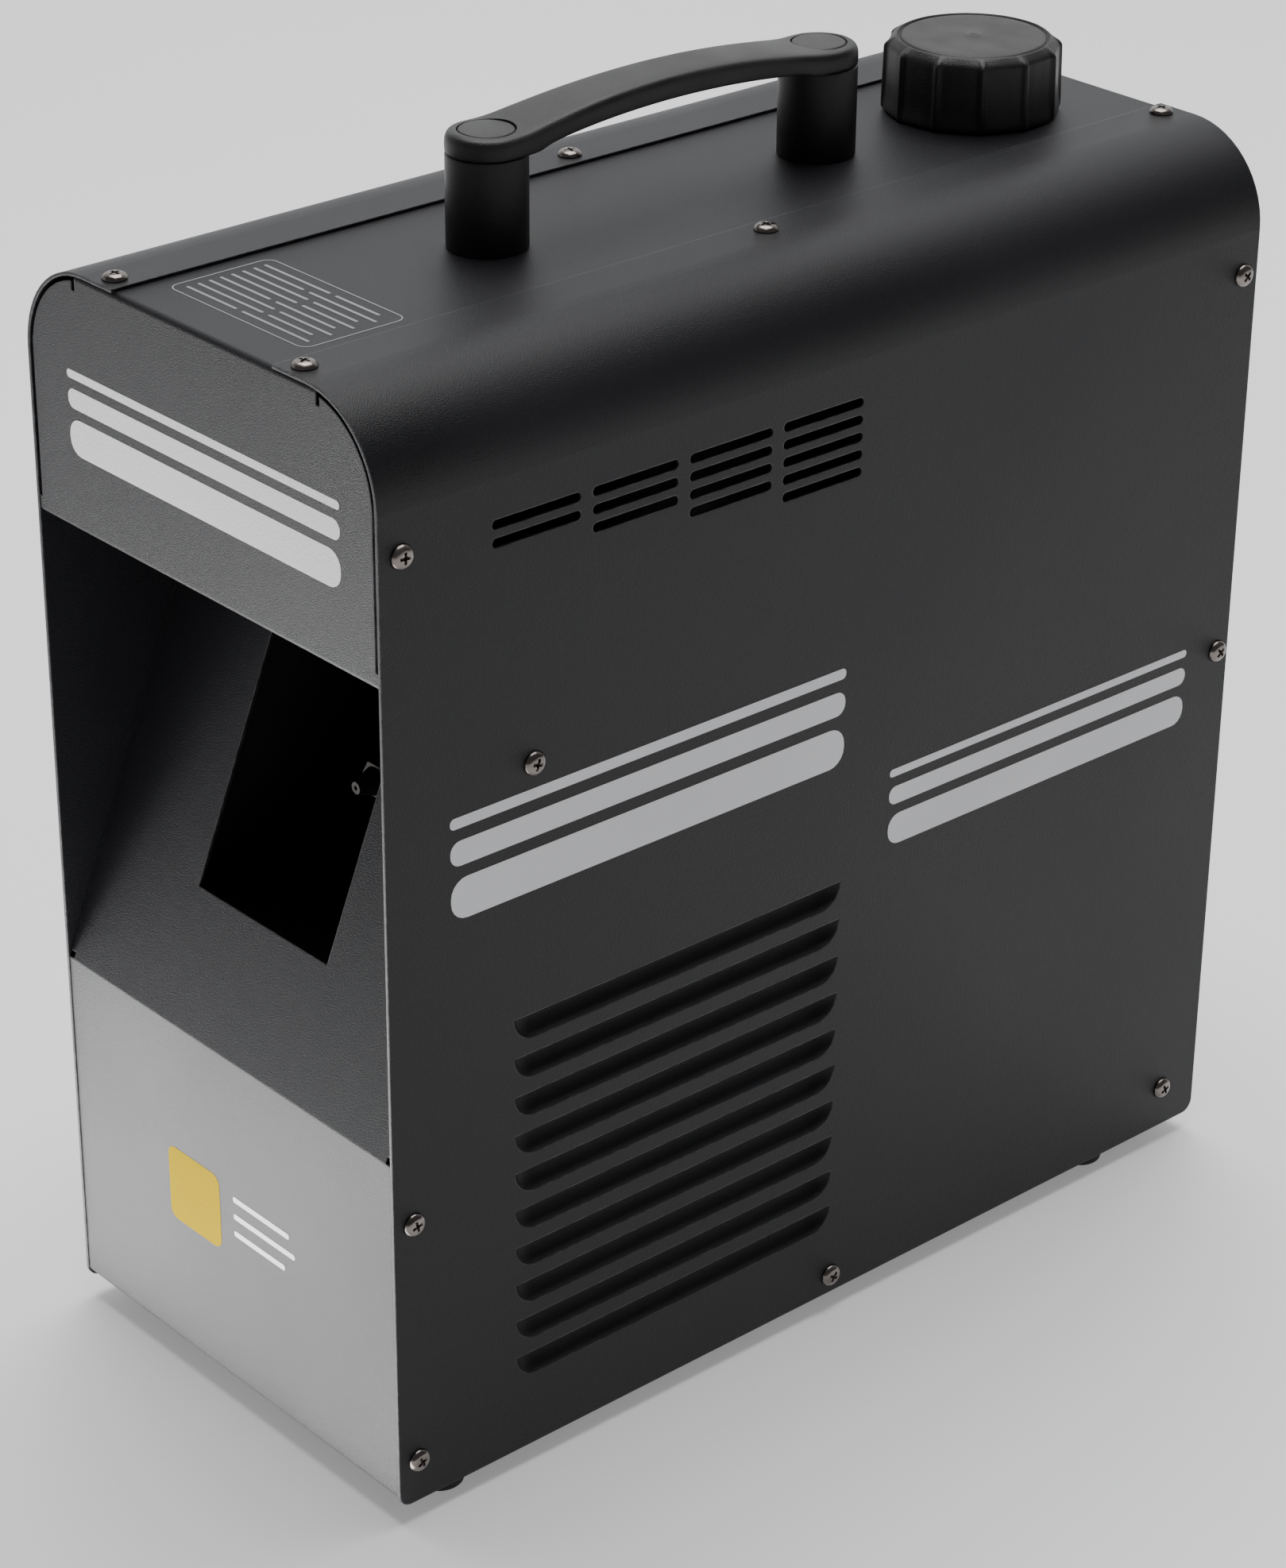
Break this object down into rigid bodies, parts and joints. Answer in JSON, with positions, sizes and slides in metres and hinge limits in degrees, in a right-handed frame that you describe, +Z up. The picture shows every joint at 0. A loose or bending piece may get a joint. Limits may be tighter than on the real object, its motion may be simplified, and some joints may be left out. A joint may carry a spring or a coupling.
{
  "type": "fog machine",
  "caption": "Portable fog machine: folded steel case with louvred side covers, arched top handle, ribbed filler cap, sloped outlet, heater, pump, tank and rear controls.",
  "frame": {"origin": "on the floor under the middle of the case", "axes": "+Z up, the outlet in the front faces -Y, the controls face +Y"},
  "size_m": [0.1904, 0.398, 0.4526],
  "materials": {
    "powder_black": "fine-textured powder coat",
    "plated_steel": "satin zinc plate",
    "dark_screw": "dark nickel plate",
    "black_rubber": "matte",
    "handle_plastic": "fine matte grain",
    "tank_natural": "translucent satin",
    "cap_plastic": "satin",
    "fan_plastic": "satin",
    "heater_alloy": "as cast, machined joint",
    "bare_steel": "ground",
    "brass": "turned",
    "ceramic_wool": "fibrous",
    "coil_tape": "taped winding",
    "silicone_hose": "translucent matte",
    "board_green": "lacquered board",
    "nylon_white": "satin",
    "screen_dark": "polished window",
    "key_plastic": "satin",
    "socket_black": "gloss",
    "socket_metal": "satin nickel plate",
    "pin_metal": "bright nickel plate",
    "rocker_gloss": "gloss",
    "ceramic_white": "unglazed",
    "fuse_glass": "clear"
  },
  "bodies": {
    "case": {"board_spacers": "nylon_white", "control_board": "board_green", "control_screen": "screen_dark", "cover_screws": "dark_screw", "dmx_in": "socket_metal", "dmx_out": "socket_metal", "fan_frame": "fan_plastic", "fan_screws": "dark_screw", "floor_pan": "powder_black", "fluid_tank": "tank_natural", "foot_screws": "dark_screw", "front_panel": "powder_black", "fuse_holder": "socket_black", "handle_bolts": "dark_screw", "handle_grip": "handle_plastic", "handle_plugs": "handle_plastic", "handle_posts": "handle_plastic", "handle_stay": "plated_steel", "heater_bolts": "dark_screw", "heater_elements": "bare_steel", "heater_hood": "plated_steel", "heater_lower": "heater_alloy", "heater_pillars": "plated_steel", "heater_upper": "heater_alloy", "heater_wool": "ceramic_wool", "left_cover": "powder_black", "mains_inlet": "socket_black", "nozzle": "brass", "outlet_duct": "plated_steel", "panel_screws": "dark_screw", "partition": "plated_steel", "power_switch": "socket_black", "pressure_hose": "silicone_hose", "pump_barrel": "brass", "pump_coil": "coil_tape", "pump_mounts": "black_rubber", "pump_spring": "bare_steel", "pump_yoke": "bare_steel", "rear_panel": "powder_black", "right_cover": "powder_black", "rubber_feet": "black_rubber", "socket_pins": "pin_metal", "steam_pipe": "bare_steel", "suction_hose": "silicone_hose", "tank_neck": "tank_natural", "tank_shelf": "plated_steel", "thermal_cutout": "ceramic_white", "top_panel": "powder_black"},
    "seal": {"cap_seal": "black_rubber"},
    "cap": {"tank_cap": "cap_plastic"},
    "rotor": {"fan_rotor": "fan_plastic"},
    "plunger": {"pump_plunger": "bare_steel"},
    "menu_key": {"key_menu": "key_plastic"},
    "down_key": {"key_down": "key_plastic"},
    "up_key": {"key_up": "key_plastic"},
    "enter_key": {"key_enter": "key_plastic"},
    "latch": {"dmx_latch": "socket_metal"},
    "rocker": {"switch_rocker": "rocker_gloss"},
    "fuse_carrier": {"fuse_cap": "socket_black", "fuse_link": "fuse_glass"}
  },
  "joints": [
    {"name": "cap_rise", "type": "slide", "parent": "case", "child": "seal", "axis": [0, 0, 1], "range_m": [0, 0.01]},
    {"name": "cap_turn", "type": "hinge", "parent": "seal", "child": "cap", "pos_m": [0, 0.1448, 0.42], "axis": [0, 0, 1], "range_deg": [0, 720]},
    {"name": "fan_spin", "type": "hinge", "parent": "case", "child": "rotor", "pos_m": [0, -0.05, 0.236], "axis": [0, 1, 0], "continuous": true},
    {"name": "plunger_stroke", "type": "slide", "parent": "case", "child": "plunger", "axis": [0, 0, -1], "range_m": [0, 0.003], "stiffness_N_per_m": 600, "springref_m": -0.006, "deforming": ["pump_spring"]},
    {"name": "menu_press", "type": "slide", "parent": "case", "child": "menu_key", "axis": [0, -1, 0], "range_m": [0, 0.0012], "stiffness_N_per_m": 800, "springref_m": -0.0006},
    {"name": "down_press", "type": "slide", "parent": "case", "child": "down_key", "axis": [0, -1, 0], "range_m": [0, 0.0012], "stiffness_N_per_m": 800, "springref_m": -0.0006},
    {"name": "up_press", "type": "slide", "parent": "case", "child": "up_key", "axis": [0, -1, 0], "range_m": [0, 0.0012], "stiffness_N_per_m": 800, "springref_m": -0.0006},
    {"name": "enter_press", "type": "slide", "parent": "case", "child": "enter_key", "axis": [0, -1, 0], "range_m": [0, 0.0012], "stiffness_N_per_m": 800, "springref_m": -0.0006},
    {"name": "latch_press", "type": "slide", "parent": "case", "child": "latch", "axis": [0, -1, 0], "range_m": [0, 0.0015], "stiffness_N_per_m": 1200, "springref_m": -0.0008},
    {"name": "rocker_turn", "type": "hinge", "parent": "case", "child": "rocker", "pos_m": [0.016, 0.186, 0.062], "axis": [1, 0, 0], "range_deg": [0, 22]},
    {"name": "fuse_cap_turn", "type": "hinge", "parent": "case", "child": "fuse_carrier", "pos_m": [0.056, 0.19, 0.062], "axis": [0, 1, 0], "range_deg": [0, 60]}
  ],
  "couplings": [
    {"joint": "cap_rise", "follows": "cap_turn", "m_per_rad": 0.00079577}
  ]
}
